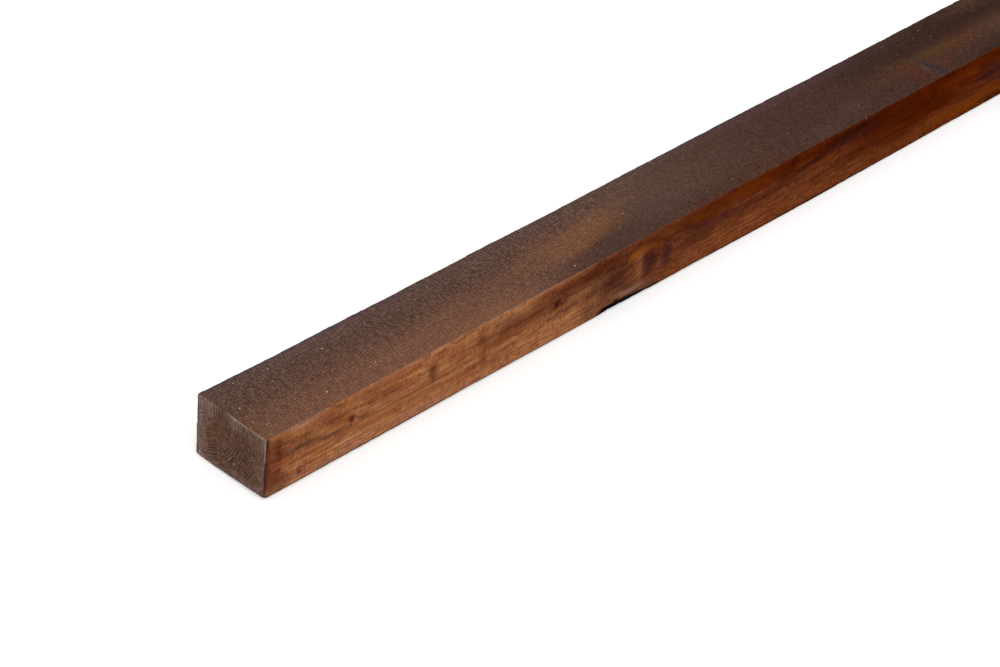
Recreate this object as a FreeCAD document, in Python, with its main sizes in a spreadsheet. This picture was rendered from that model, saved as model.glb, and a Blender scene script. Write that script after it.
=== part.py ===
"""Rough-sawn softwood batten, 50 x 38 mm, brown pressure-treated, docked to a 1.8 m stock length.

The batten is one sawn stick. It lies on its wide face: +X runs along the grain, +Y across the wide
face towards the back, +Z up, and the origin is the middle of the underside.

It was cut from near the middle of a small log, so the log's pith runs along the top back arris and
the bottom front arris was next to the bark. That arris carries a short stretch of wane, where the
round of the log dips inside the sawn section.
"""

import FreeCAD, Part
import os
import Sketcher

from FreeCAD import Vector

SIZES = (
    # alias, millimetres, what it is
    ("stock_length", 1800.0, "length the stick is docked to"),
    ("face_width", 50.0, "sawn width, the face it lies on"),
    ("face_depth", 38.0, "sawn thickness, its height as it lies"),
    ("arris_radius", 1.2, "round on three of the long arrises"),
    ("back_arris_radius", 2.4, "larger round on the top back arris"),
    ("end_arris", 0.5, "break round each docked end"),
    ("pith_behind", 1.0, "pith line, behind the back face"),
    ("pith_down", 5.0, "pith line, below the top face"),
    ("wane_start", 246.0, "front end to where the wane starts"),
    ("wane_deepest", 257.0, "front end to the deepest point of the wane"),
    ("wane_finish", 312.0, "front end to where the wane runs out"),
    ("wane_rise", 3.7, "height of the wane on the front face at its deepest"),
    ("wane_clearance", 2.0, "how far the waste outside the log clears the arris"),
)

NODE = "batten"

# Expressions over the sheet, used by more than one feature.
PITH_Y = "(Sizes.face_width / 2 + Sizes.pith_behind)"
PITH_Z = "(Sizes.face_depth - Sizes.pith_down)"
ACROSS = "(Sizes.face_width + Sizes.pith_behind)"
ARRIS_FROM_PITH = f"sqrt({ACROSS} ^ 2 + {PITH_Z} ^ 2)"
LOG_RADIUS_AT_WANE = f"sqrt({ACROSS} ^ 2 + ({PITH_Z} - Sizes.wane_rise) ^ 2)"

START, END, CENTRE = 1, 2, 3  # Sketcher's numbers for the points of an edge
ORIGIN = (-1, 1)
TOUCHING = 1e-3


def make_sheet(doc):
    """The driving dimensions, one alias to a row."""
    sheet = doc.addObject("Spreadsheet::Sheet", "Sizes")
    for row, (alias, value, words) in enumerate(SIZES, start=1):
        sheet.set(f"A{row}", words)
        sheet.set(f"B{row}", str(value))
        sheet.setAlias(f"B{row}", alias)
    doc.recompute()
    return sheet


def origin_plane(body, role):
    return next(f for f in body.Origin.OriginFeatures if f.Role == role)


def new_sketch(body, name, role):
    sketch = body.newObject("Sketcher::SketchObject", name)
    sketch.AttachmentSupport = [(origin_plane(body, role), "")]
    sketch.MapMode = "FlatFace"
    return sketch


def size(sketch, kind, *points, by):
    """Adds a dimension between two points, at the length drawn, and binds it to an expression."""
    drawn = sketch.getPoint(*points[2:]) - sketch.getPoint(*points[:2])
    length = drawn.x if kind == "DistanceX" else drawn.y
    index = sketch.addConstraint(Sketcher.Constraint(kind, *points, length))
    sketch.setExpression(f"Constraints[{index}]", by)


def join_ends(sketch, *edges):
    """Closes a loop of edges, each one's end on the next one's start."""
    for this, following in zip(edges, edges[1:] + edges[:1]):
        sketch.addConstraint(Sketcher.Constraint("Coincident", this, END, following, START))


def draw_section(body):
    """The sawn section: face_width by face_depth, centred on the origin and standing on Z = 0."""
    sketch = new_sketch(body, "section", "YZ_Plane")
    half, high = 25.0, 38.0
    corners = [Vector(-half, 0), Vector(half, 0), Vector(half, high), Vector(-half, high)]
    bottom, back, top, front = (
        sketch.addGeometry(Part.LineSegment(a, b), False)
        for a, b in zip(corners, corners[1:] + corners[:1])
    )
    join_ends(sketch, bottom, back, top, front)
    for edge in (bottom, top):
        sketch.addConstraint(Sketcher.Constraint("Horizontal", edge))
    for edge in (back, front):
        sketch.addConstraint(Sketcher.Constraint("Vertical", edge))
    sketch.addConstraint(Sketcher.Constraint("Symmetric", bottom, START, bottom, END, *ORIGIN))
    size(sketch, "DistanceX", bottom, START, bottom, END, by="Sizes.face_width")
    size(sketch, "DistanceY", back, START, back, END, by="Sizes.face_depth")
    return sketch


def draw_wane(body):
    """The waste outside the log, drawn in the plane of the pith line, which is the sketch's X axis.

    The log's surface dips to its deepest point as two arcs that meet there tangent to the pith line.
    """
    sketch = new_sketch(body, "wane_profile", "XZ_Plane")
    sketch.setExpression("AttachmentOffset.Base.x", "-Sizes.stock_length / 2")
    sketch.setExpression("AttachmentOffset.Base.y", PITH_Z)
    sketch.setExpression("AttachmentOffset.Base.z", f"-{PITH_Y}")

    start, deepest, finish = Vector(246, 60.7), Vector(257, 58.8), Vector(312, 60.7)
    start_out, finish_out = Vector(246, 62.7), Vector(312, 62.7)
    entry = sketch.addGeometry(Part.Arc(start, Vector(251, 59.2), deepest), False)
    run_out = sketch.addGeometry(Part.Arc(deepest, Vector(285, 59.3), finish), False)
    rise = sketch.addGeometry(Part.LineSegment(finish, finish_out), False)
    outside = sketch.addGeometry(Part.LineSegment(finish_out, start_out), False)
    fall = sketch.addGeometry(Part.LineSegment(start_out, start), False)
    # Sketcher draws an arc anticlockwise, so along the bottom of the dip both run with the stick.
    join_ends(sketch, entry, run_out, rise, outside, fall)
    for edge in (rise, fall):
        sketch.addConstraint(Sketcher.Constraint("Vertical", edge))
    sketch.addConstraint(Sketcher.Constraint("Horizontal", outside))
    for arc in (entry, run_out):
        sketch.addConstraint(Sketcher.Constraint("Vertical", arc, CENTRE, entry, END))
    size(sketch, "DistanceX", *ORIGIN, entry, START, by="Sizes.wane_start")
    size(sketch, "DistanceX", *ORIGIN, entry, END, by="Sizes.wane_deepest")
    size(sketch, "DistanceX", *ORIGIN, run_out, END, by="Sizes.wane_finish")
    size(sketch, "DistanceY", *ORIGIN, entry, START, by=ARRIS_FROM_PITH)
    size(sketch, "DistanceY", *ORIGIN, entry, END, by=LOG_RADIUS_AT_WANE)
    size(sketch, "DistanceY", *ORIGIN, run_out, END, by=ARRIS_FROM_PITH)
    size(sketch, "DistanceY", rise, START, rise, END, by="Sizes.wane_clearance")
    return sketch


def runs_along_grain(edge):
    direction = edge.tangentAt(edge.FirstParameter)
    return abs(direction.x) > 0.999


def ease_edges(doc, body, kind, name, is_wanted, sizing):
    """Rounds or bevels the wanted edges of the body as it stands, by (property, expression)."""
    stands = body.Tip
    wanted = [f"Edge{n}" for n, edge in enumerate(stands.Shape.Edges, start=1) if is_wanted(edge)]
    eased = body.newObject(kind, name)
    eased.Base = (stands, wanted)
    eased.setExpression(*sizing)
    doc.recompute()


def make_batten(doc):
    body = doc.addObject("PartDesign::Body", NODE)
    body.Label = NODE
    section = draw_section(body)
    doc.recompute()

    stick = body.newObject("PartDesign::Pad", "stick")
    stick.Profile = section
    stick.Midplane = True
    stick.setExpression("Length", "Sizes.stock_length")
    section.Visibility = False
    doc.recompute()

    box = stick.Shape.BoundBox

    def is_corner(edge):
        """True for the section's own corners, which run along the grain."""
        return runs_along_grain(edge) and touches(edge, box, "y") and touches(edge, box, "z")

    def is_back_top(edge):
        return is_corner(edge) and edge.CenterOfMass.y > box.Center.y and edge.CenterOfMass.z > box.Center.z

    def is_end(edge):
        return touches(edge, box, "x")

    fillet, chamfer = "PartDesign::Fillet", "PartDesign::Chamfer"
    ease_edges(doc, body, fillet, "back_arris", is_back_top, ("Radius", "Sizes.back_arris_radius"))
    ease_edges(doc, body, fillet, "long_arrises", is_corner, ("Radius", "Sizes.arris_radius"))
    ease_edges(doc, body, chamfer, "end_arrises", is_end, ("Size", "Sizes.end_arris"))

    wane_profile = draw_wane(body)
    doc.recompute()
    before = body.Tip.Shape.Volume
    wane = body.newObject("PartDesign::Groove", "wane")
    wane.Profile = wane_profile
    wane.ReferenceAxis = (wane_profile, ["H_Axis"])
    wane.Angle = 360.0
    doc.recompute()
    if not body.Shape.Volume < before:
        raise RuntimeError("the wane cut nothing")
    return body


def touches(edge, box, axis):
    """True if the whole edge lies on one of the box's two faces square to axis."""
    limits = getattr(box, f"{axis.upper()}Min"), getattr(box, f"{axis.upper()}Max")
    places = [getattr(vertex.Point, axis) for vertex in edge.Vertexes]
    return any(all(abs(place - limit) < TOUCHING for place in places) for limit in limits)


def check(doc, parts):
    """Stops if any object of the document failed, or a piece's shape isn't one sound solid."""
    failed = [o.Name for o in doc.Objects if {"Invalid", "Error"} & set(o.State)]
    if failed:
        raise RuntimeError(f"failed objects: {failed}")
    for part in parts:
        shape = part.Shape
        if shape.isNull() or not shape.isValid() or len(shape.Solids) != 1:
            raise RuntimeError(f"{part.Label} isn't one valid solid")


def main():
    doc = FreeCAD.newDocument("TreatedBatten")
    make_sheet(doc)
    parts = [make_batten(doc)]
    doc.recompute()
    check(doc, parts)
    os.makedirs("parts", exist_ok=True)
    for part in parts:
        part.Shape.exportStep(f"parts/{part.Label}.step")
        box = part.Shape.optimalBoundingBox(False)
        print(
            f"{part.Label}: {box.XLength:.2f} x {box.YLength:.2f} x {box.ZLength:.2f} mm, "
            f"{part.Shape.Volume / 1000:.1f} cm3, {len(part.Shape.Faces)} faces"
        )


main()
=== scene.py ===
import math
from itertools import product

import bpy
import numpy as np
from mathutils import Matrix, Vector


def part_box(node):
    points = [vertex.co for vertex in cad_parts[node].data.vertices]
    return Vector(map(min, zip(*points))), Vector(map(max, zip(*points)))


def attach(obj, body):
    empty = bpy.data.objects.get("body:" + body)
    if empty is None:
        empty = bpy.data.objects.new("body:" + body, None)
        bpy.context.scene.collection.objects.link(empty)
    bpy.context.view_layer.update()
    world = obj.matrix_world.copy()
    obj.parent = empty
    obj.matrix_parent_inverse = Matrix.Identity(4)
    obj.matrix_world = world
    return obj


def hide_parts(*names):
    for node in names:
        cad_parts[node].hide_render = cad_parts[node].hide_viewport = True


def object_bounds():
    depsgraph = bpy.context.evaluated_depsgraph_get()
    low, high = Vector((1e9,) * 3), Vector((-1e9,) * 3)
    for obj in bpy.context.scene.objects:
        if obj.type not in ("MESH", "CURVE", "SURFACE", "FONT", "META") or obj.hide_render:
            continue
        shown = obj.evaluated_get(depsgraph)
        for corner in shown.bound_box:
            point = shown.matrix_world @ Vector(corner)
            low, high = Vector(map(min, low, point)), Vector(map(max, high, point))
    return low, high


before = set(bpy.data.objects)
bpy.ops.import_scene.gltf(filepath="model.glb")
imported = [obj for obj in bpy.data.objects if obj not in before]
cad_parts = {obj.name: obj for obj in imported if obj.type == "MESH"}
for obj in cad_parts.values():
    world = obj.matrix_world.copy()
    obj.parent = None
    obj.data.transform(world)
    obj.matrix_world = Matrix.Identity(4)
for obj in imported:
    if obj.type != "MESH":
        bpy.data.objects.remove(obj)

# A rough-sawn softwood batten, brown pressure-treated. The mesh is worked out in millimetres, with
# "along" measured from the near docked end, and goes into Blender in metres.

mm = 0.001
cadLow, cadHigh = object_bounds()

battenLow, battenHigh = (np.array(corner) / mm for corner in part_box("batten"))
battenSize = battenHigh - battenLow
middle = (battenLow + battenHigh) / 2


def smoothstep(value, start, stop):
    t = np.clip((value - start) / (stop - start), 0, 1)
    return t * t * (3 - 2 * t)


noiseTable = 32  # random values along each side of the table, which repeats
noiseShift = 97.3  # cells


def softNoise(points, size, seed):
    # Value noise from -1 to 1. size is the length in mm of its features along X, Y and Z.
    table = np.random.default_rng(seed).random([noiseTable] * 3) * 2 - 1
    scaled = np.asarray(points, float) / np.asarray(size, float) + noiseShift
    cell = np.floor(scaled).astype(int)
    part = scaled - cell
    part = part * part * (3 - 2 * part)
    total = np.zeros(len(scaled))
    for step in product((0, 1), repeat=3):
        weight = np.prod(np.where(step, part, 1 - part), axis=1)
        x, y, z = ((cell + step) % noiseTable).T
        total += weight * table[x, y, z]
    return total


# What varies over the wood. Each is a sum of noises: how much of each, in mm or as its note or use says,
# then the size in mm of its features along X, Y and Z, and its seed.
noises = {
    "pithAside": [(1.1, (310, 1, 1), 1)],
    "pithUp": [(1.1, (270, 1, 1), 2)],
    "outOfRound": [(0.8, (240, 30, 30), 3)],
    "ringJitter": [(0.3, (2.2, 2.2, 2.2), 4)],  # years
    "arrisWear": [(0.3, (38, 60, 60), 11)],  # of the radius
    "barkAndShadow": [(0.22, (7, 4, 4), 12), (0.12, (2.6, 1.5, 1.5), 13)],
    "rippleBend": [(1.5, (60, 30, 30), 21)],  # radians
    "rippleDepth": [(0.5, (45, 25, 25), 22)],  # of the ripple
    "torn": [(1, (5, 1.6, 1.6), 23), (0.8, (1.7, 1.9, 1.6), 24)],
    "raisedGrain": [(1, (26, 2.4, 2.4), 25)],
    "scratch": [(1, (3, 9, 1.5), 26)],
    "nibble": [(1, (4.2, 3, 3), 27), (0.5, (1.9, 2, 2), 28)],
    "roughStretch": [(1, (120, 400, 400), 29)],
    "splinter": [(1, (9, 30, 30), 30)],
    "hollow": [(0.075, (210, 1, 1), 31)],
    "soakedEdge": [(13, (38, 7, 7), 41), (5, (9, 3, 3), 44)],
    "cloudySoak": [(1, (160, 40, 40), 42)],
    "knotEdge": [(0.25, (3, 2, 2), 43)],  # of the knot's radius
    "rim": [(5, (16, 9, 9), 45), (2, (6, 3, 3), 46)],
    "faceEdge": [(0.16, (2.6, 1.4, 1.4), 47)],  # of the turn from face to face
    "highlightEdge": [(0.05, (9, 7, 7), 48)],  # of the same
    "highlightStretch": [(1, (14, 11, 11), 49)],
    "narrowRed": [(1, (18, 5, 5), 50), (0.7, (6, 2.6, 2.6), 51)],
    "narrowGold": [(1, (14, 4, 4), 52), (0.7, (4.5, 1.8, 1.8), 53)],
    "darkBackStretch": [(1, (30, 20, 20), 54)],
}


def noiseOf(points, name):
    return sum(amount * softNoise(points, size, seed) for amount, size, seed in noises[name])


# The log that the stick was cut from
log = {
    "pith": (battenHigh[1] + 1.0, battenHigh[2] - 5.0),  # mm in Y and Z: just behind the back face
    "ringWidth": 2.5,  # mm of growth a year by the pith
    "ringNarrowing": 0.022,  # how much narrower each year is than the last, for each mm of radius
    "farthestRing": 80,  # mm from the pith
    "ringSwell": 0.55,  # of a branch's radius that the rings bulge round it
    "swellReach": 2.4,  # radii out from the branch's axis
    "branchTaper": (0.15, 1.2),  # the least and greatest share of a branch's radius along it
    "knotSink": 0.15,  # mm that a knot lies below the wood round it
    "knotEdge": (1.25, 0.7),  # radii where a knot starts to fade in, and is all there
    "knotRimEdge": (2.2, 1.1),  # the same for the stained wood round it
}

# Branches run out from the pith. along and down are where each leaves its face, in mm from the near
# end and from the top face, or from the back face for one that leaves through a wide face. lean is how
# much further along its root is, and heart is how dark its knot is.
branches = [
    dict(zip(("face", "along", "down", "radius", "lean", "heart"), branch))
    for branch in (
        ("front", 60, 16, 1.5, -6, 1.0),
        ("front", 211, 14, 2.6, -14, 0.9),
        ("front", 286, 19, 6.5, -20, 0.35),
        ("front", 455, 9, 4.5, -26, 0.0),
        ("top", 538, 36, 6.0, -14, 0.0),
        ("front", 745, 20, 6.0, -18, 0.9),
        ("bottom", 350, 20, 6.0, -16, 0.9),
        ("bottom", 1010, 30, 7.0, -24, 0.8),
        ("front", 1080, 27, 3.4, -12, 1.0),
        ("front", 1335, 13, 7.5, -30, 0.9),
        ("bottom", 1520, 18, 5.0, -16, 1.0),
    )
]


def branchField(points, branch):
    # Distance from the branch's axis, in its own radii. A branch widens evenly from the pith.
    leaves = {
        "front": (battenLow[1], battenHigh[2] - branch["down"]),
        "top": (battenHigh[1] - branch["down"], battenHigh[2]),
        "bottom": (battenHigh[1] - branch["down"], battenLow[2]),
    }[branch["face"]]
    root = np.array((battenLow[0] + branch["along"] + branch["lean"], *log["pith"]))
    tip = np.array((battenLow[0] + branch["along"], *leaves))
    length = np.linalg.norm(tip - root)
    axis = (tip - root) / length
    offset = points - root
    reach = offset @ axis
    away = np.linalg.norm(offset - reach[:, None] * axis, axis=1)
    radius = branch["radius"] * np.clip(reach / length, *log["branchTaper"])
    return away / radius, reach


def ringCount(points):
    # Years from the pith, with the rings swelling round each branch.
    line = points * (1, 0, 0)
    y = points[:, 1] - log["pith"][0] - noiseOf(line, "pithAside")
    z = points[:, 2] - log["pith"][1] - noiseOf(line, "pithUp")
    radius = np.hypot(y, z)
    radius += noiseOf(points, "outOfRound")
    for branch in branches:
        away, _ = branchField(points, branch)
        radius += log["ringSwell"] * branch["radius"] * np.exp(-((away / log["swellReach"]) ** 2))
    radius = np.clip(radius, 0, log["farthestRing"])
    narrowing = log["ringNarrowing"]
    years = -np.log(1 - narrowing * radius / log["ringWidth"]) / narrowing
    return years + noiseOf(np.stack([years] * 3, 1), "ringJitter")


# The stick's surface is a lattice over its box, rounded at the arrises.
batten = {
    "fineCell": 1.3,  # mm along the grain, over the near part
    "fineLength": 640,
    "easingCells": 12,  # from fine to coarse
    "coarseCell": 6.5,  # mm along the grain, beyond it
    "acrossCell": 1.6,
    "arrisSteps": (0.3, 0.75, 1.3, 2.1, 3.2),  # mm from each edge
    "leastCell": 0.6,  # mm that the other cells keep clear of those
    "arrisRadius": 0.6,
    "backArris": (0.7, 2.4),  # mm across the top and down the back at the near end
    "backArrisBeyond": (1.9, 1.7),
    "backArrisFade": 60,  # mm from the one to the other
    "endArris": 0.7,
    # mm along, in and up of the flats that knocks left at the near bottom front corner
    "knockedOff": ((3.4, 2.4, 3.0), (2.4, 45, 1.8)),
    "flare": 0.7,  # mm that the back face leans out at the top by the near end
    "flareFade": 100,
    "flareUp": (4, 30),
    "crook": (0.85, 418, 110),  # mm that the bottom front arris swells out, where, and over what length
    "crookUp": (2, 24),  # mm, where it fades
    "crookAcross": (-24, 5),
    "waneDeepest": 256,
    "waneDip": 1.93,  # mm that the log's surface dips there inside the front bottom arris
    "waneReach": (13, 55),
    "barkLeft": 0.6,  # share of the dip that a strip of bark still fills
    "barkSpread": 1.45,  # times the dip: how far its near-black colour, bark and painted shadow, runs up the face
    "barkFade": (-0.3, 0.5),  # mm
    "foldAt": 600,  # mm: the length folds into rows of the map this long
    "mapRows": 3,
    "rowGap": 3,
}


def latticeLine(low, high, cells):
    # Positions from low to high: close together by both edges, then as cells gives them.
    steps = np.array(batten["arrisSteps"])
    clear = steps[-1] + batten["leastCell"]
    inner = cells[(cells > low + clear) & (cells < high - clear)]
    return np.concatenate([[low], low + steps, inner, high - steps[::-1], [high]])


def alongCells():
    near, far = battenLow[0], battenHigh[0]
    fine = np.arange(near, near + batten["fineLength"], batten["fineCell"])
    spacing = np.linspace(batten["fineCell"], batten["coarseCell"], batten["easingCells"])
    easing = fine[-1] + np.cumsum(spacing)
    coarse = np.arange(easing[-1] + batten["coarseCell"], far, batten["coarseCell"])
    cells = np.concatenate([fine, easing, coarse])
    for row in range(1, batten["mapRows"]):
        fold = near + row * batten["foldAt"]
        cells[np.abs(cells - fold).argmin()] = fold  # a row of the map ends here
    return cells


def evenCells(low, high):
    count = round((high - low) / batten["acrossCell"])
    return np.linspace(low, high, count + 1)


def surfaceLattice():
    # Vertices of the box's surface and its quads, each quad with its corners' places on the map.
    lines = [
        latticeLine(battenLow[0], battenHigh[0], alongCells()),
        latticeLine(battenLow[1], battenHigh[1], evenCells(battenLow[1], battenHigh[1])),
        latticeLine(battenLow[2], battenHigh[2], evenCells(battenLow[2], battenHigh[2])),
    ]
    shape = tuple(len(line) for line in lines)
    onSurface = np.zeros(shape, bool)
    for axis in range(3):
        np.moveaxis(onSurface, axis, 0)[[0, -1]] = True
    number = np.full(shape, -1)
    number[onSurface] = np.arange(onSurface.sum())
    points = np.stack(np.meshgrid(*lines, indexing="ij"), -1)[onSurface]
    quads, places = [], []
    for axis, side in product(range(3), (0, -1)):
        sheet = np.moveaxis(number, axis, 0)[side]
        corners = [sheet[:-1, :-1], sheet[1:, :-1], sheet[1:, 1:], sheet[:-1, 1:]]
        outward = (side == -1) != (axis == 1)
        if not outward:
            corners.reverse()
        faces = np.stack(corners, -1).reshape(-1, 4)
        quads.append(faces)
        places.append(mapPlaces(points[faces], axis, side))
    return points, np.concatenate(quads), np.concatenate(places)


def mapPlaces(corners, axis, side):
    # The length folds into rows, each the stick's unrolled girth wide, so that the map is square. The
    # two ends lie past the last row.
    _, width, depth = battenSize
    along, across, up = np.moveaxis(corners - battenLow, -1, 0)
    rows, gap = batten["mapRows"], batten["rowGap"]
    row = width + depth + width + depth + gap
    mapSize = max(batten["foldAt"], rows * row + depth + gap) + 2 * gap
    if axis == 0:
        u = across + (0 if side == 0 else width + gap)
        v = up + rows * row
    else:
        girth = {
            (2, -1): width - across,  # top, from the back arris to the front one
            (1, 0): width + depth - up,  # front
            (2, 0): width + depth + across,  # underside
            (1, -1): 2 * width + depth + up,  # back
        }[axis, side]
        fold = np.minimum(along.mean(1, keepdims=True) // batten["foldAt"], rows - 1)
        u = along - fold * batten["foldAt"]
        v = girth + fold * row
    return (np.stack([u, v], -1) + gap) / mapSize


def roundArrises(points):
    # Pulls the box's corners in to rounds and returns the outward direction at each point too.
    along = points[:, 0] - battenLow[0]
    highBack = (points[:, 2] > middle[2]) & (points[:, 1] > middle[1])
    edgeHighlight = 1 + noiseOf(points, "arrisWear")
    byEnd = np.exp(-along / batten["backArrisFade"])
    radii = [batten["endArris"] * edgeHighlight]
    for near, beyond in zip(batten["backArris"], batten["backArrisBeyond"]):
        radii.append(np.where(highBack, beyond + (near - beyond) * byEnd, batten["arrisRadius"]) * edgeHighlight)
    radii = np.stack(radii, 1)
    core = np.clip(points, battenLow + radii, battenHigh - radii)
    outward = (points - core) / radii
    outward /= np.linalg.norm(outward, axis=1, keepdims=True)
    rounded = core + outward * radii
    normal = outward / radii
    for flat in batten["knockedOff"]:
        slope = 1 / np.array(flat)
        over = np.clip(1 - (rounded - battenLow) @ slope, 0, None)
        rounded += np.outer(over, slope) / (slope @ slope)
    return rounded, normal / np.linalg.norm(normal, axis=1, keepdims=True)


def cutWane(points):
    # Where the log's round surface dips inside the section, the corner follows the log and keeps some of
    # its bark. The near-black bark colour reaches wider than the cut, as painted shadow under the wane.
    along = points[:, 0] - battenLow[0]
    fromDeepest = along - batten["waneDeepest"]
    reach = np.where(fromDeepest < 0, *batten["waneReach"])
    offset = points[:, 1:] - log["pith"]
    fromPith = np.linalg.norm(offset, axis=1)
    corner = np.hypot(log["pith"][0] - battenLow[1], log["pith"][1] - battenLow[2])
    uneven = noiseOf(points, "barkAndShadow")
    # steep towards the near end and shallow beyond
    fade = np.clip(1 - np.abs(fromDeepest) / reach, 0, None)
    dip = batten["waneDip"] * np.where(fromDeepest < 0, 1 - (1 - fade) ** 2, fade ** 1.4)
    inBarkAndShadow = fromPith - corner + batten["barkSpread"] * dip + 2 * uneven
    barkAndShadowShare = smoothstep(inBarkAndShadow, *batten["barkFade"]) * (dip > 0)
    surface = corner - dip * (1 - batten["barkLeft"]) + uneven * (dip > 0)
    waned = (fromPith > surface) & (dip > 0)
    scale = np.where(waned, surface / fromPith, 1)
    moved = points.copy()
    moved[:, 1:] = log["pith"] + offset * scale[:, None]
    return moved, barkAndShadowShare


# How high the wood stands over the rounded box, in mm, where nothing else is said
relief = {
    "ripplePitch": 4.6,
    "rippleSlant": 0.12,  # mm along for each mm across
    "wide": {"torn": 0.07, "ripple": 0.05, "lateWood": 0.05, "level": -0.05},
    "narrow": {"raisedGrain": 0.04, "ripple": 0.03, "lateWood": 0.05},
    "ends": {"scratch": 0.06, "lateWood": 0.06, "level": -0.06},
    "scratchTurn": 35,  # degrees
    "nibble": 0.34,  # out of every arris
    "splinter": 0.9,  # out of the back arris, in its rough stretches
    "splinterNibble": 0.3,
    "roughStretch": (-0.3, 0.5),  # of that noise, where they begin and are roughest
    "longFaces": -0.06,
}


def sawnRelief(points, normal, years):
    # Height in mm of the real surface against the rounded box: saw ripple, raised grain, torn arrises.
    along, across, up = (points - (battenLow[0], 0, 0)).T
    back = across > middle[1]
    ends, narrow, wide = (normal ** 2).T
    slant = along + relief["rippleSlant"] * across
    ripple = np.sin(slant / relief["ripplePitch"] * 2 * math.pi + noiseOf(points, "rippleBend"))
    slantwise = points @ turned(math.radians(relief["scratchTurn"]))
    field = {
        "level": 1,
        "lateWood": np.sin(years * 2 * math.pi) * 0.5,
        "ripple": ripple * (0.5 + noiseOf(points, "rippleDepth")),
        "torn": noiseOf(points, "torn"),
        "raisedGrain": noiseOf(points, "raisedGrain"),
        "scratch": noiseOf(slantwise, "scratch"),
    }
    height = np.zeros(len(points))
    for share, face in ((wide, "wide"), (narrow, "narrow"), (ends, "ends")):
        height += share * sum(amount * field[name] for name, amount in relief[face].items())

    edge = np.clip(4 * (wide * narrow + wide * ends + narrow * ends), 0, 1)
    nibble = noiseOf(points, "nibble")
    height -= edge * relief["nibble"] * np.clip(nibble + 0.1, 0, None)
    rough = smoothstep(noiseOf(points, "roughStretch"), *relief["roughStretch"])
    splinter = relief["splinter"] * np.clip(noiseOf(points, "splinter"), 0, None)
    splinter += relief["splinterNibble"] * np.abs(nibble)
    height -= edge * rough * splinter * (back & (up > middle[2]))

    hollow = noiseOf(points * (1, 0, 0) + (0, 1, 1), "hollow")
    height += (narrow + wide) * (hollow + relief["longFaces"])
    swell, centre, spread = batten["crook"]
    swell *= np.exp(-np.abs((along - centre) / spread) ** 1.5)
    low = (1 - smoothstep(up, *batten["crookUp"])) * (1 - smoothstep(across, *batten["crookAcross"]))
    height += (1 - ends) * swell * low
    flare = batten["flare"] * smoothstep(up, *batten["flareUp"]) * np.exp(-along / batten["flareFade"])
    return height + narrow * flare * back


def turned(angle):
    # Turns a point's Y and Z, for scratches that run slantwise over the docked ends.
    c, s = math.cos(angle), math.sin(angle)
    return np.array([[1, 0, 0], [0, c, s], [0, -s, c]])


def linear(hexColour):
    # sRGB hex to the linear colour that a shader takes
    channels = [int(hexColour[i : i + 2], 16) / 255 for i in (1, 3, 5)]
    curve = [c / 12.92 if c <= 0.04045 else ((c + 0.055) / 1.055) ** 2.4 for c in channels]
    return (*curve, 1)


# Colours of dyed pine. Each kind of face has three: the brightest and darkest fibres and the late
# wood of its rings. most is how much of a look goes on where it is strongest, if not all of it. The
# preservative sank in deeper past the near end.
treatedPine = {
    # finely sawn, so the stain is clear and reddish
    "narrow": {"light": "#C58858", "dark": "#82492F", "late": "#653420"},
    "narrowRed": {"light": "#AD6342", "dark": "#6D3527", "late": "#52251A", "most": 0.7},
    "narrowGold": {"light": "#CC8A48", "dark": "#8C5324", "late": "#6B3A18", "most": 0.6},
    "narrowSoaked": {"light": "#7D3A15", "dark": "#4A1B06", "late": "#3A1306"},
    # coarse sawn and dull grey-brown; the grey is partly a painted sheen of soft light on the torn fibres
    "wide": {"light": "#9D7564", "dark": "#4A362E", "late": "#3F2D26"},
    "wideSoaked": {"light": "#6D5247", "dark": "#3D2B26", "late": "#35261F"},
    # end grain drinks the most and dries dull
    "end": {"light": "#7B5D4B", "dark": "#442B22", "late": "#35201A"},
    "endRim": {"light": "#9A8074", "dark": "#604B42", "late": "#58453E"},
    "knot": {"light": "#3A1D18", "dark": "#22100F", "late": "#22100F", "most": 0.9},
    "knotRim": {"light": "#8A4526", "dark": "#5E2A18", "late": "#54230F", "most": 0.7},
    # near-black bark, and painted shadow where the wane turns under
    "barkAndShadow": {"light": "#1A110E", "dark": "#090606", "late": "#090606"},
    # a painted highlight on the end's upper edges
    "edgeHighlight": {"light": "#B3A295", "dark": "#7F6D62", "late": "#8C7A6E", "most": 0.85},
    "darkBackEdges": {"light": "#45404C", "dark": "#28242E", "late": "#28242E", "most": 0.85},
}

# Colours of the stains, and of the painted highlights and shade laid like them
stainAndPaintedLightColours = {
    "maroon": "#3E1B1C",
    "rust": "#65301F",
    "slate": "#4E362E",
    "plum": "#3B1F22",
    "umber": "#4A2013",
    "ember": "#4E1802",
    "honey": "#A85E1F",
    "amber": "#7A3A08",
    "sand": "#9A7057",
    "blush": "#A97F6B",
    "tan": "#845A44",
    "gold": "#875B3D",
    "bronze": "#6A4A36",
    "dusk": "#4F3B36",
    "mist": "#5F4D4B",
    "russet": "#5C3822",
    "slab": "#4A2820",
    "ink": "#3A3638",
    "pitch": "#2B0F0A",
    "peat": "#3B2923",
    "smoke": "#5C493F",
    "clay": "#AA6D46",
    "ochre": "#5B4229",
}
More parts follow.
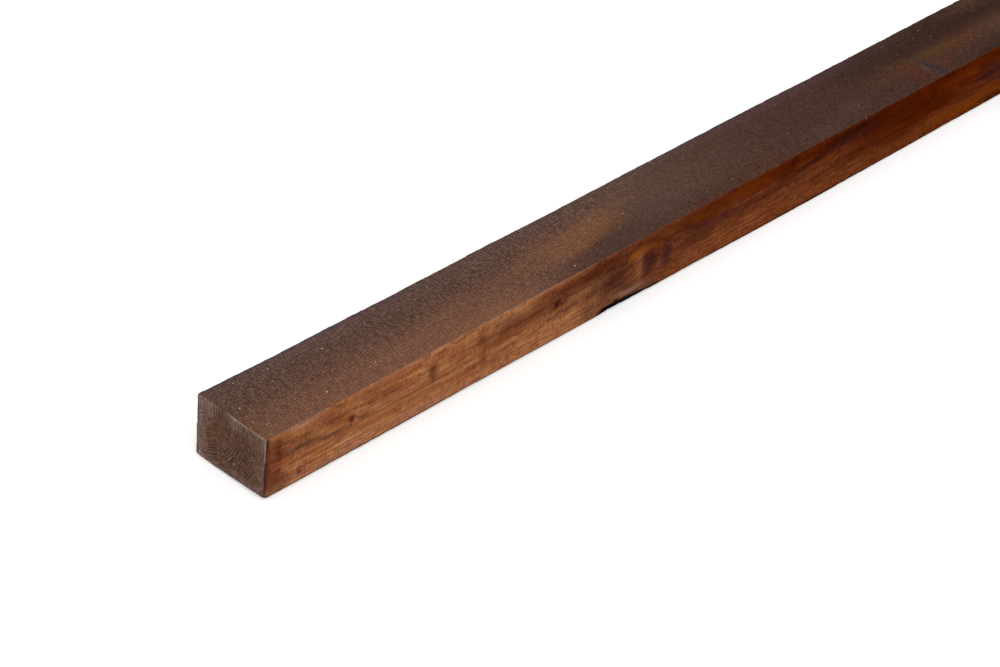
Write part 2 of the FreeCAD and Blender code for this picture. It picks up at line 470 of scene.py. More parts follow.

# along, across, halfLength and halfWidth in mm, colour and strength. across is down from the top on the
# narrow faces, and from the back face on the wide ones. Most are stains; a few along the front's top and
# bottom arrises are painted highlight and painted shade.
frontStainsAndPaintedLight = (
    (0, 19, 4.0, 60, "maroon", 1.0),
    (8, 10, 8, 10, "rust", 0.8),
    (10, 30, 8, 10, "rust", 0.8),
    (22, 9, 22, 5, "rust", 0.35),
    # painted highlight just under the front face's top arris
    (26, 2.5, 9, 2.2, "blush", 0.55),
    (15, 19, 5, 1.6, "honey", 0.7),
    (18, 5, 5, 1.5, "honey", 0.4),
    (34, 24, 7, 1.2, "honey", 0.45),
    (96, 8, 9, 3, "honey", 0.3),
    (9, 12, 2, 3, "plum", 0.5),
    (24, 31, 1.2, 3, "umber", 0.6),
    (62, 29, 12, 2, "blush", 0.3),
    (24, 15.5, 14, 1.5, "slate", 0.85),
    (30, 18.5, 14, 3, "rust", 0.4),
    (44, 23.5, 20, 3, "rust", 0.25),
    (46, 8, 17, 9, "rust", 0.35),
    (72, 4, 19, 4, "rust", 0.4),
    (52, 13.5, 14, 3, "rust", 0.35),
    (9, 20, 8, 6, "rust", 0.35),
    (46, 19.5, 12, 1.2, "slate", 0.85),
    (84, 10, 16, 7, "rust", 0.4),
    (55, 15, 7, 2.0, "honey", 0.3),
    (68, 17, 9, 3, "rust", 0.25),
    (106, 22.5, 52, 5, "clay", 0.75),
    (80, 35, 74, 3, "blush", 0.3),
    (118, 14, 3, 6, "umber", 0.75),
    (104, 20.8, 50, 0.7, "umber", 0.6),
    (128, 25.5, 60, 0.7, "umber", 0.45),
    (136, 9, 24, 9, "rust", 0.18),
    (154, 9, 4, 5, "umber", 0.45),
    (156, 22, 3.4, 8, "umber", 0.5),
    (166, 18.5, 11, 3, "rust", 0.45),
    (172, 28.5, 22, 4, "rust", 0.25),
    (180, 11, 24, 8, "rust", 0.75),
    (174, 5, 22, 4, "sand", 0.15),
    (217, 12, 34, 8, "umber", 0.55),
    (213, 14, 9, 4, "plum", 0.55),
    (220, 21, 30, 1.4, "plum", 0.5),
    # painted highlight: pale lines along the front face's top arris
    (202, 0.2, 44, 1.1, "sand", 0.75),
    (70, 0.2, 80, 0.8, "sand", 0.35),
    # painted shade: dark lines along the front face's bottom arris, where it turns under towards the floor
    (118, 38, 130, 1.2, "plum", 0.8),
    (420, 38, 170, 1.4, "pitch", 0.85),
    (241, 27, 12, 9, "slab", 0.4),
    (258, 19, 15, 12, "slab", 0.85),
    (264, 5, 34, 6, "umber", 0.45),
    (275, 9, 9, 2.6, "honey", 0.7),
    (277, 20, 2.6, 11, "sand", 0.4),
    (291, 12, 5, 4, "amber", 0.7),
    (285, 19, 6, 8, "plum", 1.0),
    (298, 18, 7, 9, "plum", 0.95),
    (278, 32, 18, 6, "slate", 0.65),
    (238, 33, 12, 5, "slab", 0.35),
    (260, 29.5, 9, 0.8, "blush", 0.55),
    (272, 31.5, 10, 0.8, "blush", 0.5),
    (292, 30, 22, 3, "amber", 0.25),
    (268, 33, 18, 3, "sand", 0.45),
    (242, 8, 26, 6, "umber", 0.6),
    (320, 10, 14, 7, "plum", 0.6),
    (320, 21.5, 20, 5, "umber", 0.7),
    (375, 20, 40, 5, "umber", 0.5),
    (345, 15, 34, 2.4, "plum", 0.65),
    (406, 5, 116, 9, "ember", 1.0),
    (366, 6, 22, 4, "amber", 0.35),
    (325, 7, 10, 3, "amber", 0.4),
    (404, 4, 4, 4, "pitch", 0.5),
    (411, 9, 6, 2, "amber", 0.5),
    (400, 12.8, 14, 2.4, "pitch", 0.6),
    (398, 14.5, 30, 3, "umber", 0.55),
    (421, 11.8, 14, 2.6, "pitch", 0.9),
    (437, 8.2, 12, 2.8, "pitch", 0.7),
    (430, 14.5, 14, 2, "amber", 0.3),
    (457, 6.2, 19, 5, "pitch", 0.95),
    (456, 9.0, 22, 2.6, "plum", 0.9),
    (466, 9.8, 4, 1.3, "ink", 0.7),
    (476, 8, 16, 6, "pitch", 0.5),
    (494, 10.5, 30, 5, "pitch", 0.6),
    (522, 16.5, 28, 5, "pitch", 0.9),
    (537, 1.2, 17, 2, "pitch", 0.8),
    (535, 9, 90, 9, "ember", 0.8),
    (560, 4, 52, 6, "ember", 0.55),
    (560, 8, 14, 3, "amber", 0.3),
    (582, 16, 14, 4, "pitch", 0.6),
    (566, 25, 12, 2.5, "umber", 0.5),
    (572, 31, 40, 4.5, "amber", 0.6),
    (500, 20, 62, 8, "ember", 0.75),
    (455, 22, 40, 7, "umber", 0.45),
    (610, 18, 50, 7, "plum", 0.5),
    (592, 36, 20, 3, "pitch", 0.5),
)

topStains = (
    (20, 47, 60, 13, "tan", 0.65),
    (124, 47, 92, 14, "tan", 0.65),
    (168, 48, 28, 4, "tan", 0.8),
    (100, 32, 90, 10, "tan", 0.25),
    (150, 29, 40, 6, "tan", 0.3),
    (60, 2, 95, 8, "mist", 0.6),
    (200, 1, 90, 8, "mist", 0.5),
    (120, 20, 120, 8, "dusk", 0.2),
    (248, 27, 46, 8.5, "gold", 0.65),
    (290, 20, 34, 7, "gold", 0.4),
    (300, 29, 26, 8, "dusk", 0.6),
    (276, 43, 46, 7, "dusk", 0.9),
    (330, 16, 52, 17, "smoke", 0.7),
    (330, 34, 42, 8, "smoke", 0.45),
    (440, 24, 60, 20, "dusk", 0.4),
    (468, 40, 14, 5, "smoke", 0.35),
    (436, 44, 14, 5, "smoke", 0.35),
    (602, 12, 110, 26, "peat", 0.95),
    (410, 3, 115, 5, "mist", 0.4),
    (590, 47, 26, 7, "peat", 0.8),
    (574, 31, 58, 8, "russet", 0.85),
    (556, 27.5, 17, 2.2, "ochre", 0.7),
    (527, 38, 10, 10, "rust", 0.4),
    (549, 43, 8, 6, "rust", 0.45),
    (539, 32, 1.8, 6, "ink", 0.7),
    (540, 40, 1.8, 6, "ink", 0.8),
    (542, 46, 2.6, 5, "ink", 0.9),
    (535.5, 37, 2.0, 6, "mist", 0.6),
    (80, 0, 130, 1.3, "ink", 0.85),
    (400, 0, 200, 1.0, "ink", 0.6),
)

stainsAndPaintedLight = [("front", *stain) for stain in frontStainsAndPaintedLight] + [("top", *stain) for stain in topStains]

# The stains that come by chance beyond the near part and on the faces out of sight
chanceStains = {
    "count": 150,
    "seed": 71,
    "halfLength": (12, 90),
    "halfWidth": (1.5, 9),
    "slimness": 0.4,  # the most that the width is of the length
    "strength": (0.3, 0.85),
    "narrow": ("rust", "umber", "plum", "ember", "amber", "honey", "umber"),
    "wide": ("dusk", "gold", "bronze", "russet", "dusk", "mist"),
}

# How a stain lies on each kind of face, with how bright each tone of the wood takes it. The furry wide
# faces blur its edge.
stainOn = {
    "narrow": {"sharpness": 1.5, "light": 1.22, "dark": 0.78, "late": 0.64},
    "wide": {"sharpness": 1.1, "light": 1.75, "dark": 0.78, "late": 0.64},
}

# How a stain's edge strays, coarsely and finely, in half lengths and half widths
stainEdges = (
    {"size": 0.8, "along": 0.34, "across": 0.4},
    {"size": 0.27, "along": 0.2, "across": 0.25},
)
stainReach = 2.2  # half lengths
stainSeed = 200
arrisTurn = (0.35, 0.75)  # of the outward direction, between which a face begins


def faceKind(face):
    return "narrow" if face in ("front", "back") else "wide"


def faceAcross(points, face):
    # mm down from the top on a narrow face, and mm from the back face on a wide one.
    axis = 2 if faceKind(face) == "narrow" else 1
    return battenHigh[axis] - points[:, axis]


def faceShare(normal, face):
    # 1 on a face, fading to 0 over its arrises.
    axis, sign = {"front": (1, -1), "back": (1, 1), "top": (2, 1), "bottom": (2, -1)}[face]
    return smoothstep(normal[:, axis] * sign, *arrisTurn)


def drawnStains():
    chance = np.random.default_rng(chanceStains["seed"])
    drawn = []
    while len(drawn) < chanceStains["count"]:
        face = ("front", "back", "top", "bottom")[chance.integers(4)]
        along = chance.uniform(0, battenSize[0])
        if face in ("front", "top") and along < batten["fineLength"]:
            continue
        kind = faceKind(face)
        colour = chance.choice(chanceStains[kind])
        halfLength = chance.uniform(*chanceStains["halfLength"])
        halfWidth = min(halfLength * chanceStains["slimness"], chance.uniform(*chanceStains["halfWidth"]))
        strength = chance.uniform(*chanceStains["strength"])
        across = chance.uniform(0, battenSize[2 if kind == "narrow" else 1])
        drawn.append((face, along, across, halfLength, halfWidth, colour, strength))
    return drawn


def laid(paint, name, share):
    # Blends one look's colours into the paint, by a share for each point.
    look = treatedPine[name]
    share = look.get("most", 1) * share[:, None]
    for tone, values in paint.items():
        values += (np.array(linear(look[tone])[:3]) - values) * share


def layStainsAndPaintedLight(paint, points, normal):
    along = points[:, 0] - battenLow[0]
    for number, stain in enumerate(stainsAndPaintedLight + drawnStains()):
        face, start, across, halfLength, halfWidth, colour, strength = stain
        look = stainOn[faceKind(face)]
        near = np.abs(along - start) < stainReach * halfLength
        spot = points[near]
        x = (along[near] - start) / halfLength
        y = (faceAcross(spot, face) - across) / halfWidth
        seed = stainSeed + 4 * number
        for edge in stainEdges:
            size = edge["size"] * np.array((halfLength, halfWidth, halfWidth))
            x += edge["along"] * softNoise(spot, size, seed)
            y += edge["across"] * softNoise(spot, size, seed + 1)
        share = np.exp(-((x ** 2 + y ** 2) ** look["sharpness"]))
        share *= strength * faceShare(normal[near], face)
        shade = np.array(linear(stainAndPaintedLightColours[colour])[:3])
        for tone, values in paint.items():
            values[near] += (shade * look[tone] - values[near]) * share[:, None]


# Where the sapwood took less preservative, in mm from the near end
soak = {
    "front": (200, 44),  # by the front's top edge, and how much further from frontStep down
    "frontStep": (7, 12),
    "top": (204, 2.7),  # by the top's front edge, and how much further for each mm towards the back
    "fade": (-16, 20),
    "slowShare": 0.28,  # of the change comes slowly
    "slowFade": (300, 620),
    "cloudy": 0.35,  # share that clears again in clouds, beyond the near part
}


def soaking(points, normal):
    # From 0 for pale sapwood to 1 for soaked wood. The change slants back over the top face.
    along = points[:, 0] - battenLow[0]
    upper, further = soak["front"]
    front = upper + further * smoothstep(battenHigh[2] - points[:, 2], *soak["frontStep"])
    nearest, lean = soak["top"]
    slant = nearest + lean * (points[:, 1] - battenLow[1])
    onTop = faceShare(normal, "top")
    edge = along + noiseOf(points, "soakedEdge") - (front * (1 - onTop) + slant * onTop)
    slowly = soak["slowShare"]
    soaked = (1 - slowly) * smoothstep(edge, *soak["fade"]) + slowly * smoothstep(along, *soak["slowFade"])
    cloudy = 1 - soak["cloudy"] * smoothstep(noiseOf(points, "cloudySoak"), -0.2, 0.8)
    return soaked * np.where(along > batten["fineLength"], cloudy, 1)


# The grey rim of a docked end, in mm
rim = {
    "share": 0.8,
    "fade": (-12, 1),
    "farSides": 3,  # how much narrower it is along the front and the top
    "corners": ((battenHigh[2], 0.6), (battenLow[2], 0.45)),  # height and share of those at the back
    "cornerFade": (-17, -3),
}


def endRim(points):
    # 1 at the edges of a docked end and 0 in its middle.
    up, across = points[:, 2], points[:, 1]
    inset = np.minimum(battenHigh[1] - across, up - battenLow[2])
    inset = np.minimum(inset, np.minimum(across - battenLow[1], battenHigh[2] - up) + rim["farSides"])
    share = rim["share"] * smoothstep(-inset - noiseOf(points, "rim"), *rim["fade"])
    for height, strength in rim["corners"]:
        share += strength * smoothstep(-np.hypot(across - battenHigh[1], up - height), *rim["cornerFade"])
    return np.clip(share, 0, 1)


# Where each look starts to show and shows in full, on the measure that makePaint takes for it
shows = {
    "narrowRed": (-0.1, 0.9),
    "narrowGold": (0.3, 1.0),
    "wide": (0.4, 0.62),
    "end": (0.3, 0.55),
    "edgeHighlight": (0.05, 0.2),
    "highlightStretch": (-0.5, 0.35),
    "highlightUp": (12, 24),  # mm
    "highlightAcross": (4, 18),  # mm, where it fades
    "darkBackEdges": (0.03, 0.16),
    "darkBackStretch": (-0.7, 0.1),
    "darkBackAlong": (110, 200),  # mm, where it fades
}


def shown(name, measure):
    return smoothstep(measure, *shows[name])


def makePaint(points, normal, knot, knotRim, barkAndShadow):
    # The colours at each point, from the wood itself to what happened to it last, with painted highlights
    # and shadow among them
    along, across, up = (points - (battenLow[0], 0, 0)).T
    ends, narrow, wide = (normal ** 2).T
    ragged = noiseOf(points, "faceEdge")
    paint = {tone: np.zeros((len(points), 3)) for tone in ("light", "dark", "late")}
    laid(paint, "narrow", np.ones(len(points)))
    for name in ("narrowRed", "narrowGold"):
        laid(paint, name, shown(name, noiseOf(points, name)))
    soaked = soaking(points, normal)
    laid(paint, "narrowSoaked", soaked)
    onWide = shown("wide", wide + ragged)
    laid(paint, "wide", onWide * (1 - soaked))
    laid(paint, "wideSoaked", onWide * soaked)
    layStainsAndPaintedLight(paint, points, normal)
    laid(paint, "knotRim", knotRim)
    laid(paint, "knot", knot)
    # bark in the wane, with painted shadow past it
    laid(paint, "barkAndShadow", barkAndShadow)
    onEnd = shown("end", ends + ragged)
    laid(paint, "end", onEnd)
    laid(paint, "endRim", onEnd * endRim(points))
    # painted highlight: the end's upper edges are painted pale in places, less so towards the back
    edgeHighlight = shown("edgeHighlight", ends * (1 - ends) + noiseOf(points, "highlightEdge"))
    edgeHighlight *= shown("highlightStretch", noiseOf(points, "highlightStretch")) * shown("highlightUp", up)
    laid(paint, "edgeHighlight", edgeHighlight * (1 - 0.65 * shown("highlightAcross", across)))
    # the back edges near the end are darkened blue-black
    darkBackEdges = shown("darkBackEdges", narrow * (wide + ends)) * (across > middle[1]) * (up > 4)
    darkBackEdges *= shown("darkBackStretch", noiseOf(points, "darkBackStretch"))
    darkBackEdges *= 1 - shown("darkBackAlong", along)
    laid(paint, "darkBackEdges", darkBackEdges)
    return paint


def sawn(points):
    # Where points on the box's surface lie on the real stick, with what is found there.
    rounded, normal = roundArrises(points)
    shaped, barkAndShadow = cutWane(rounded)
    years = ringCount(shaped)
    ragged = noiseOf(shaped, "knotEdge")
    found = {"knotEdge": np.zeros(len(shaped)), "knotRimEdge": np.zeros(len(shaped))}
    for branch in branches:
        away, reach = branchField(shaped, branch)
        outside = branch["heart"] * (reach > 0)
        for name, share in found.items():
            start, full = log[name]
            np.maximum(share, outside * smoothstep(-(away + ragged), -start, -full), out=share)
    knot, knotRim = found.values()
    height = sawnRelief(shaped, normal, years) - log["knotSink"] * knot
    return shaped, normal, height, years, knot, knotRim, barkAndShadow


def addObject(name, data):
    added = bpy.data.objects.new(name, data)
    bpy.context.scene.collection.objects.link(added)
    return added


ringsSeen = (1, 0.6, 0.3)  # how strongly late wood shows on the ends, the narrow faces and the wide ones


def setLayer(mesh, name, kind, key, values):
    layer = mesh.attributes.new(name, kind, "POINT")
    layer.data.foreach_set(key, values.astype(np.float32).ravel())


def makeBatten():
    points, quads, places = surfaceLattice()
    shaped, normal, height, years, knot, knotRim, barkAndShadow = sawn(points)
    surface = shaped + normal * height[:, None]
    mesh = bpy.data.meshes.new("timber_batten")
    mesh.from_pydata((surface * mm).tolist(), [], quads.tolist())
    mesh.polygons.foreach_set("use_smooth", np.ones(len(quads), bool))
    foldMap = mesh.uv_layers.new(name="OFBake")
    foldMap.uv.foreach_set("vector", places.astype(np.float32).ravel())

    paint = makePaint(shaped, normal, knot, knotRim, barkAndShadow)
    for tone, values in paint.items():
        setLayer(mesh, tone, "FLOAT_COLOR", "color", np.c_[values, np.ones(len(values))])
    faces = normal ** 2  # how far each point belongs to the ends, the narrow faces and the wide ones
    setLayer(mesh, "faces", "FLOAT_VECTOR", "vector", faces)
    setLayer(mesh, "years", "FLOAT", "value", years)
    setLayer(mesh, "ringsSeen", "FLOAT", "value", (1 - knot) * (1 - barkAndShadow) * (faces @ ringsSeen))

    print(f"batten: {len(points)} vertices, {2 * len(quads)} triangles")
    return addObject("timber_batten", mesh)


# Fibres that the saw tore up, and chips of undyed wood caught among them
tornFibres = {
    "count": 1500,
    "seed": 81,
    "length": (1.2, 4.2),  # mm
    "width": (0.16, 0.34),
    "height": (0.14, 0.3),
    "astray": 24,  # degrees off the grain
    "crowding": 1.15,  # over 1 brings more of them to the near end
    "reddish": "#6A3A24",  # on the narrow faces
    "dull": "#6B4E40",
    "bright": "#A98D78",
    "chipCount": 80,
    "chipSize": (0.35, 0.8),
    "chipCrowding": 2,
    "chipShape": (1, 0.8, 0.4),  # length, width and height for its size
    "placedShape": (1, 0.75, 0.4),
    "chip": "#D8C4AC",
    # the bigger chips on the top: mm along and from the back face, and size
    "topChips": ((74, 12, 1.5), (8, 22, 1.2), (51, 40, 1.2), (87, 38, 1.0), (229, 44, 1.3), (285, 27, 0.9)),
    # and on the near end: mm from the back face and up, and size
    "endChips": ((25.5, 12.5, 0.9), (28, 10, 1.1), (3, 3, 1.0), (41, 22, 0.5)),
    "mapFill": 0.38,  # of its cell of the map that each reaches out from the middle
}


def scatterFibres(chance):
    # Middle, length, width, height, turn and colour of each, with the middles on the box's surface.
    rows = []
    length, width, depth = battenSize
    dull, bright, chip, reddish = (
        np.array(linear(tornFibres[name])[:3]) for name in ("dull", "bright", "chip", "reddish")
    )
    for number in range(tornFibres["count"] + tornFibres["chipCount"]):
        isChip = number >= tornFibres["count"]
        along = length * chance.random() ** tornFibres["chipCrowding" if isChip else "crowding"]
        around = chance.uniform(0, 2 * width + depth)
        if isChip:
            place = (along, chance.uniform(0, width), depth)
            extent = chance.uniform(*tornFibres["chipSize"]) * np.array(tornFibres["chipShape"])
            tone = bright + (chip - bright) * chance.random()
        else:
            if around < width:
                place = (along, around, depth)
            elif around < 2 * width:
                place = (along, around - width, 0)
            else:
                place = (along, (0, width)[chance.integers(2)], around - 2 * width)
            extent = [chance.uniform(*tornFibres[name]) for name in ("length", "width", "height")]
            tone = dull + (bright - dull) * chance.random() ** 2
            if around > 2 * width:
                tone = reddish
        turn = chance.normal() * math.radians(tornFibres["astray"])
        rows.append((*place, *extent, turn, *tone))
    placed = [(along, fromBack, depth, size) for along, fromBack, size in tornFibres["topChips"]]
    placed += [(0, fromBack, up, size) for fromBack, up, size in tornFibres["endChips"]]
    for along, fromBack, up, size in placed:
        extent = size * np.array(tornFibres["placedShape"])
        rows.append((along, width - fromBack, up, *extent, chance.uniform(0, 3), *chip))
    return np.array(rows)


def makeTornFibres():
    # Each is a closed sliver with eight faces, sunk to its middle in the wood.
    rows = scatterFibres(np.random.default_rng(tornFibres["seed"]))
    shaped, normal, height, *_ = sawn(rows[:, :3] + battenLow)
    middles = shaped + normal * height[:, None]
    grain = np.tile((1.0, 0, 0), (len(rows), 1))
    grain[np.abs(normal[:, 0]) > 0.9] = (0, 1.0, 0)  # chips on a docked end lie across it
    side = np.cross(normal, grain)
    side /= np.linalg.norm(side, axis=1, keepdims=True)
    grain = np.cross(side, normal)
    turn = rows[:, 6:7]
    forward = grain * np.cos(turn) + side * np.sin(turn)
    sideways = side * np.cos(turn) - grain * np.sin(turn)
    half = rows[:, 3:6] / 2
    reach = [forward * half[:, :1], sideways * half[:, 1:2], normal * half[:, 2:3]]
    corners = [middles + sign * arm for arm in reach for sign in (1, -1)]
    points = np.stack(corners, 1).reshape(-1, 3)

    # corners 0 and 1 are the tips, 2 and 3 the sides, 4 the ridge and 5 the root
    ring = (0, 2, 1, 3)
    faces, places = [], []
    spots = {0: (1, 0), 2: (0, 1), 1: (-1, 0), 3: (0, -1)}
    for i in range(4):
        a, b = ring[i], ring[(i + 1) % 4]
        corner = (spots[a][0] + spots[b][0], spots[a][1] + spots[b][1])
        faces += [(a, b, 4), (b, a, 5)]
        places += [(spots[a], spots[b], (0, 0)), (spots[b], spots[a], corner)]
    order = np.arange(len(rows))
    across = math.ceil(math.sqrt(len(rows)))
    cell = np.stack([order % across, order // across], 1) + 0.5
    triangles = (6 * order[:, None, None] + np.array(faces)).reshape(-1, 3)
    foldedOut = cell[:, None, None] + tornFibres["mapFill"] * np.array(places)
    mesh = bpy.data.meshes.new("torn_fibres")
    mesh.from_pydata((points * mm).tolist(), [], triangles.tolist())
    fibreMap = mesh.uv_layers.new(name="OFBake")
    fibreMap.uv.foreach_set("vector", (foldedOut / across).astype(np.float32).ravel())
    tones = np.repeat(np.c_[rows[:, 7:], np.ones(len(rows))], 6, axis=0)
    setLayer(mesh, "tone", "FLOAT_COLOR", "color", tones)
    print(f"torn fibres: {len(rows)}, {len(triangles)} triangles")
    return addObject("torn_fibres", mesh)


def emptyTree(owner):
    owner.use_nodes = True
    owner.node_tree.nodes.clear()
    return owner.node_tree


def addNode(tree, kind, inputs=None, **settings):
    # Adds a node, sets its properties and sets or links its inputs.
    node = tree.nodes.new(kind)
    for name, value in settings.items():
        setattr(node, name, value)
    for name, value in (inputs or {}).items():
        if isinstance(value, bpy.types.NodeSocket):
            tree.links.new(value, node.inputs[name])
        else:
            node.inputs[name].default_value = value
    return node


# Sizes in mm of each pattern's features along X, Y and Z. A softwood fibre is 0.03 mm across: the
# finest patterns here are over twenty times coarser, so that they show.
pinePatterns = {
    "streak": {"size": (15, 1.1, 1.1), "Detail": 4.0, "Distortion": 0.3},
    "mottle": {"size": (5, 2.6, 2.6), "Detail": 3.0, "Distortion": 0.5},
    "flecks": {"size": (1.5, 3.2, 3.2), "Detail": 3.0, "Distortion": 0.5},
    "cloud": {"size": (26, 8, 8), "Detail": 3.0, "Distortion": 0.5},
    "furAlong": {"size": (4.0, 0.7, 0.7), "Detail": 2.0, "Distortion": 0.3},
    "furAcross": {"size": (0.7, 4.0, 2.4), "Detail": 2.0, "Distortion": 0.3},
    "grit": {"size": (0.9, 0.9, 0.9), "Detail": 2.0, "Distortion": 0.0},
}

# How each kind of face mixes the patterns: the shares of the patterns, then the range of the sum that
# runs from its darkest fibres to its brightest.
faceMixes = {
    "ends": {"shares": {"mottle": 0.3, "grit": 0.45, "flecks": 0.25}, "range": (0.38, 0.62)},
    "narrow": {
        "shares": {"streak": 0.28, "mottle": 0.2, "flecks": 0.24, "cloud": 0.12, "grit": 0.16},
        "range": (0.40, 0.60),
    },
    "wide": {"shares": {"furAlong": 0.28, "furAcross": 0.27, "grit": 0.45}, "range": (0.46, 0.70)},
}

fibreHeight = 0.12  # mm
mixShare, mixFirst, mixSecond, mixResult = 0, 6, 7, 2  # the colour sockets of a Mix node


def makeTreatedPine():
    # Softwood off the bandsaw, soaked in brown copper preservative: dull and furry on the wide faces,
    # clearer and redder on the narrow ones, dark on the end grain.
    material = bpy.data.materials.new("bandsawn pine, brown preservative")
    tree = emptyTree(material)

    place = addNode(tree, "ShaderNodeTexCoord").outputs["Object"]
    pattern = {}
    for name, look in pinePatterns.items():
        scale = tuple(1 / mm / size for size in look["size"])
        scaled = addNode(tree, "ShaderNodeVectorMath", {0: place, 1: scale}, operation="MULTIPLY")
        settings = {key: value for key, value in look.items() if key != "size"}
        noise = addNode(tree, "ShaderNodeTexNoise", {"Vector": scaled.outputs[0], "Scale": 1.0, **settings})
        pattern[name] = noise.outputs["Fac"]

    paint = {}
    for tone in ("light", "dark", "late"):
        paint[tone] = addNode(tree, "ShaderNodeAttribute", attribute_name=tone).outputs["Color"]
    faces = addNode(tree, "ShaderNodeAttribute", attribute_name="faces").outputs["Vector"]
    shares = addNode(tree, "ShaderNodeSeparateXYZ", {0: faces}).outputs
    faceShares = dict(zip(("ends", "narrow", "wide"), shares))
    years = addNode(tree, "ShaderNodeAttribute", attribute_name="years").outputs["Fac"]
    lateShare = addNode(tree, "ShaderNodeAttribute", attribute_name="ringsSeen").outputs["Fac"]

    # fibres, bright and dark, as each kind of face shows them
    fibres = 0.0
    for face, look in faceMixes.items():
        total = 0.0
        for name, share in look["shares"].items():
            added = {0: pattern[name], 1: share, 2: total}
            total = addNode(tree, "ShaderNodeMath", added, operation="MULTIPLY_ADD").outputs[0]
        low, high = look["range"]
        spread = addNode(tree, "ShaderNodeMapRange", {"Value": total, "From Min": low, "From Max": high})
        added = {0: spread.outputs[0], 1: faceShares[face], 2: fibres}
        fibres = addNode(tree, "ShaderNodeMath", added, operation="MULTIPLY_ADD").outputs[0]

    # late wood: each ring darkens slowly through its year and stops short, and fades in places
    added = {0: pattern["mottle"], 1: 0.5, 2: years}
    wavering = addNode(tree, "ShaderNodeMath", added, operation="MULTIPLY_ADD").outputs[0]
    throughYear = addNode(tree, "ShaderNodeMath", {0: wavering}, operation="FRACT").outputs[0]
    for value, start, stop, low, high in (
        (throughYear, 0.5, 0.92, 0.0, 1.0),  # darkens
        (throughYear, 1.0, 0.95, 0.0, 1.0),  # stops
        (pattern["cloud"], 0.38, 0.58, 0.15, 0.95),  # fades
    ):
        limits = {"Value": value, "From Min": start, "From Max": stop, "To Min": low, "To Max": high}
        step = addNode(tree, "ShaderNodeMapRange", limits, interpolation_type="SMOOTHSTEP")
        both = {0: lateShare, 1: step.outputs[0]}
        lateShare = addNode(tree, "ShaderNodeMath", both, operation="MULTIPLY").outputs[0]

    colour = paint["dark"]
    for share, tone in ((fibres, paint["light"]), (lateShare, paint["late"])):
        inputs = {mixShare: share, mixFirst: colour, mixSecond: tone}
        colour = addNode(tree, "ShaderNodeMix", inputs, data_type="RGBA").outputs[mixResult]

    bump = addNode(tree, "ShaderNodeBump", {"Height": fibres, "Distance": fibreHeight * mm})
    look = {"Base Color": colour, "Normal": bump.outputs[0], "Roughness": 0.8, "IOR": 1.5}
    look["Specular IOR Level"] = 0.0  # no specular: the grey sheen of the wide faces is painted into their colours instead
    shader = addNode(tree, "ShaderNodeBsdfPrincipled", look)
    addNode(tree, "ShaderNodeOutputMaterial", {"Surface": shader.outputs[0]})
    return material


def makeTornWood():
    # Pine fibre torn loose by the saw and only half dyed: matt, and some of it nearly bare wood.
    material = bpy.data.materials.new("torn pine fibre, half dyed")
    tree = emptyTree(material)
    tone = addNode(tree, "ShaderNodeAttribute", attribute_name="tone").outputs["Color"]
    look = {"Base Color": tone, "Roughness": 0.9, "Specular IOR Level": 0.0}
    shader = addNode(tree, "ShaderNodeBsdfPrincipled", look)
    addNode(tree, "ShaderNodeOutputMaterial", {"Surface": shader.outputs[0]})
    return material


# A plain pale floor in soft studio light
studio = {
    "floorDrop": 0.9,  # mm under the stick, which rests on its high spots
    "floorHalf": 60,  # m
    "floor": "#E6E6E6",
    "floorGlow": 0.4,  # brings the floor up to the white round it where the camera looks
    "skyLight": 0.62,
    # strength in W/m2, softness and direction in degrees, as the camera's are
    "lamps": (
        {"name": "overhead softbox", "strength": 1.35, "softness": 70, "azimuth": -70, "elevation": 58},
        {"name": "front fill", "strength": 0.7, "softness": 90, "azimuth": 10, "elevation": 25},
    ),
}

lookout = {
    "azimuth": -49.07,
    "elevation": 36.10,
    "roll": 5.707,
    "lens": 130.91,  # mm
    "sensor": 36,
    "clip": (0.05, 200),  # m
    # the near top front corner, from the camera: mm right of its axis, above it and away
    "corner": (-115.34, -52.97, 1791.08),
}


def seenWhite(tree):
    # 1 for the rays that would show the background, straight or in a reflection
    path = addNode(tree, "ShaderNodeLightPath").outputs
    either = {0: path["Is Camera Ray"], 1: path["Is Glossy Ray"]}
    straight = addNode(tree, "ShaderNodeMath", either, operation="MAXIMUM").outputs[0]
    either = {0: straight, 1: path["Is Transmission Ray"]}
    return addNode(tree, "ShaderNodeMath", either, operation="MAXIMUM").outputs[0]


def makeFloor():
    half = studio["floorHalf"]
    corners = [(-half, -half), (half, -half), (half, half), (-half, half)]
    mesh = bpy.data.meshes.new("floor")
    mesh.from_pydata([(x, y, cadLow.z - studio["floorDrop"] * mm) for x, y in corners], [], [(0, 1, 2, 3)])
    material = bpy.data.materials.new("matt white paper sweep")
    tree = emptyTree(material)
    paper = addNode(tree, "ShaderNodeBsdfDiffuse", {"Color": linear(studio["floor"])})
    both = {0: seenWhite(tree), 1: studio["floorGlow"]}
    glow = addNode(tree, "ShaderNodeMath", both, operation="MULTIPLY")
    light = addNode(tree, "ShaderNodeEmission", {"Strength": glow.outputs[0]})
    lit = addNode(tree, "ShaderNodeAddShader", {0: paper.outputs[0], 1: light.outputs[0]})
    # seen from below, the floor is clear, so the underside can be looked at
    side = addNode(tree, "ShaderNodeNewGeometry").outputs["Backfacing"]
    clear = addNode(tree, "ShaderNodeBsdfTransparent")
    shown = addNode(tree, "ShaderNodeMixShader", {0: side, 1: lit.outputs[0], 2: clear.outputs[0]})
    addNode(tree, "ShaderNodeOutputMaterial", {"Surface": shown.outputs[0]})
    mesh.materials.append(material)
    addObject("floor", mesh)


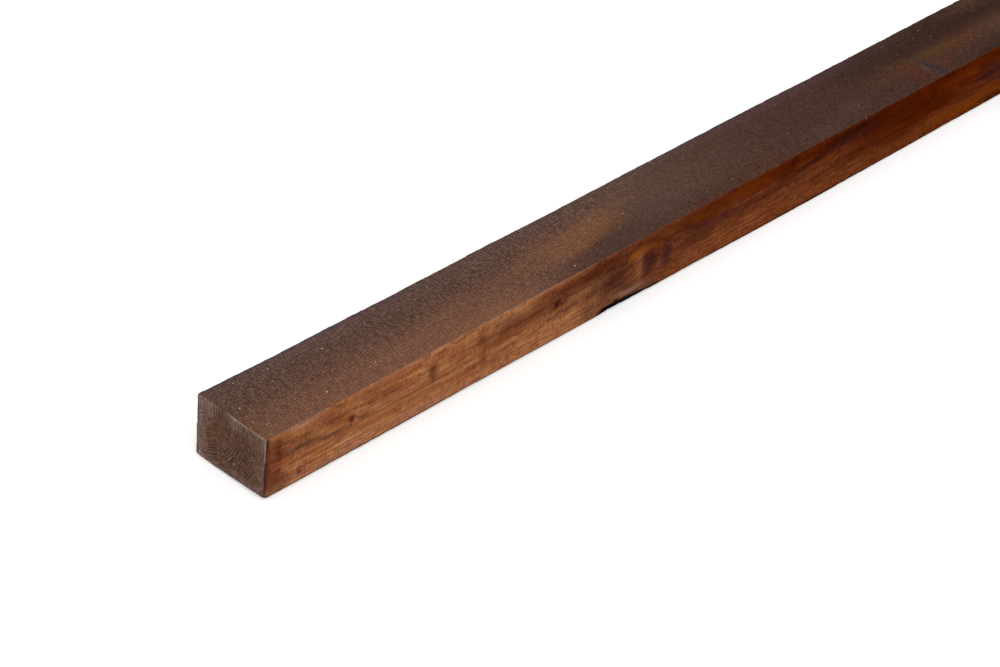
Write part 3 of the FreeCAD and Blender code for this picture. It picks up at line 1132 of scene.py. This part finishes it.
def direction(azimuth, elevation):
    a, e = math.radians(azimuth), math.radians(elevation)
    return Vector((math.sin(a) * math.cos(e), -math.cos(a) * math.cos(e), math.sin(e)))


def makeLights():
    world = bpy.data.worlds.new("pale studio")
    bpy.context.scene.world = world
    tree = emptyTree(world)
    added = {0: seenWhite(tree), 1: 1 - studio["skyLight"], 2: studio["skyLight"]}
    strength = addNode(tree, "ShaderNodeMath", added, operation="MULTIPLY_ADD")
    sky = addNode(tree, "ShaderNodeBackground", {"Strength": strength.outputs[0]})
    addNode(tree, "ShaderNodeOutputWorld", {"Surface": sky.outputs[0]})
    for lamp in studio["lamps"]:
        data = bpy.data.lights.new(lamp["name"], "SUN")
        data.energy = lamp["strength"]
        data.angle = math.radians(lamp["softness"])
        light = addObject(lamp["name"], data)
        towards = direction(lamp["azimuth"], lamp["elevation"])
        light.rotation_mode = "QUATERNION"
        light.rotation_quaternion = towards.to_track_quat("Z", "Y")


def makeCamera():
    data = bpy.data.cameras.new("camera")
    data.lens = lookout["lens"]
    data.sensor_width = lookout["sensor"]
    data.clip_start, data.clip_end = lookout["clip"]
    camera = addObject("camera", data)
    azimuth, roll = math.radians(lookout["azimuth"]), math.radians(lookout["roll"])
    back = direction(lookout["azimuth"], lookout["elevation"])
    level = Vector((math.cos(azimuth), math.sin(azimuth), 0))
    upright = back.cross(level)
    right = level * math.cos(roll) + upright * math.sin(roll)
    up = upright * math.cos(roll) - level * math.sin(roll)
    corner = Vector((battenLow[0], battenLow[1], battenHigh[2])) * mm
    aside, above, away = (value * mm for value in lookout["corner"])
    place = corner - right * aside - up * above + back * away
    turn = Matrix((right, up, back)).transposed()
    camera.matrix_world = Matrix.Translation(place) @ turn.to_4x4()
    bpy.context.scene.camera = camera
    bpy.context.scene.view_settings.view_transform = "Standard"


stick = makeBatten()
stick.data.materials.append(makeTreatedPine())
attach(stick, "root")
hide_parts("batten")

fibres = makeTornFibres()
fibres.data.materials.append(makeTornWood())
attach(fibres, "root")

makeFloor()
makeLights()
makeCamera()
print("stage: floor, lamps and camera")
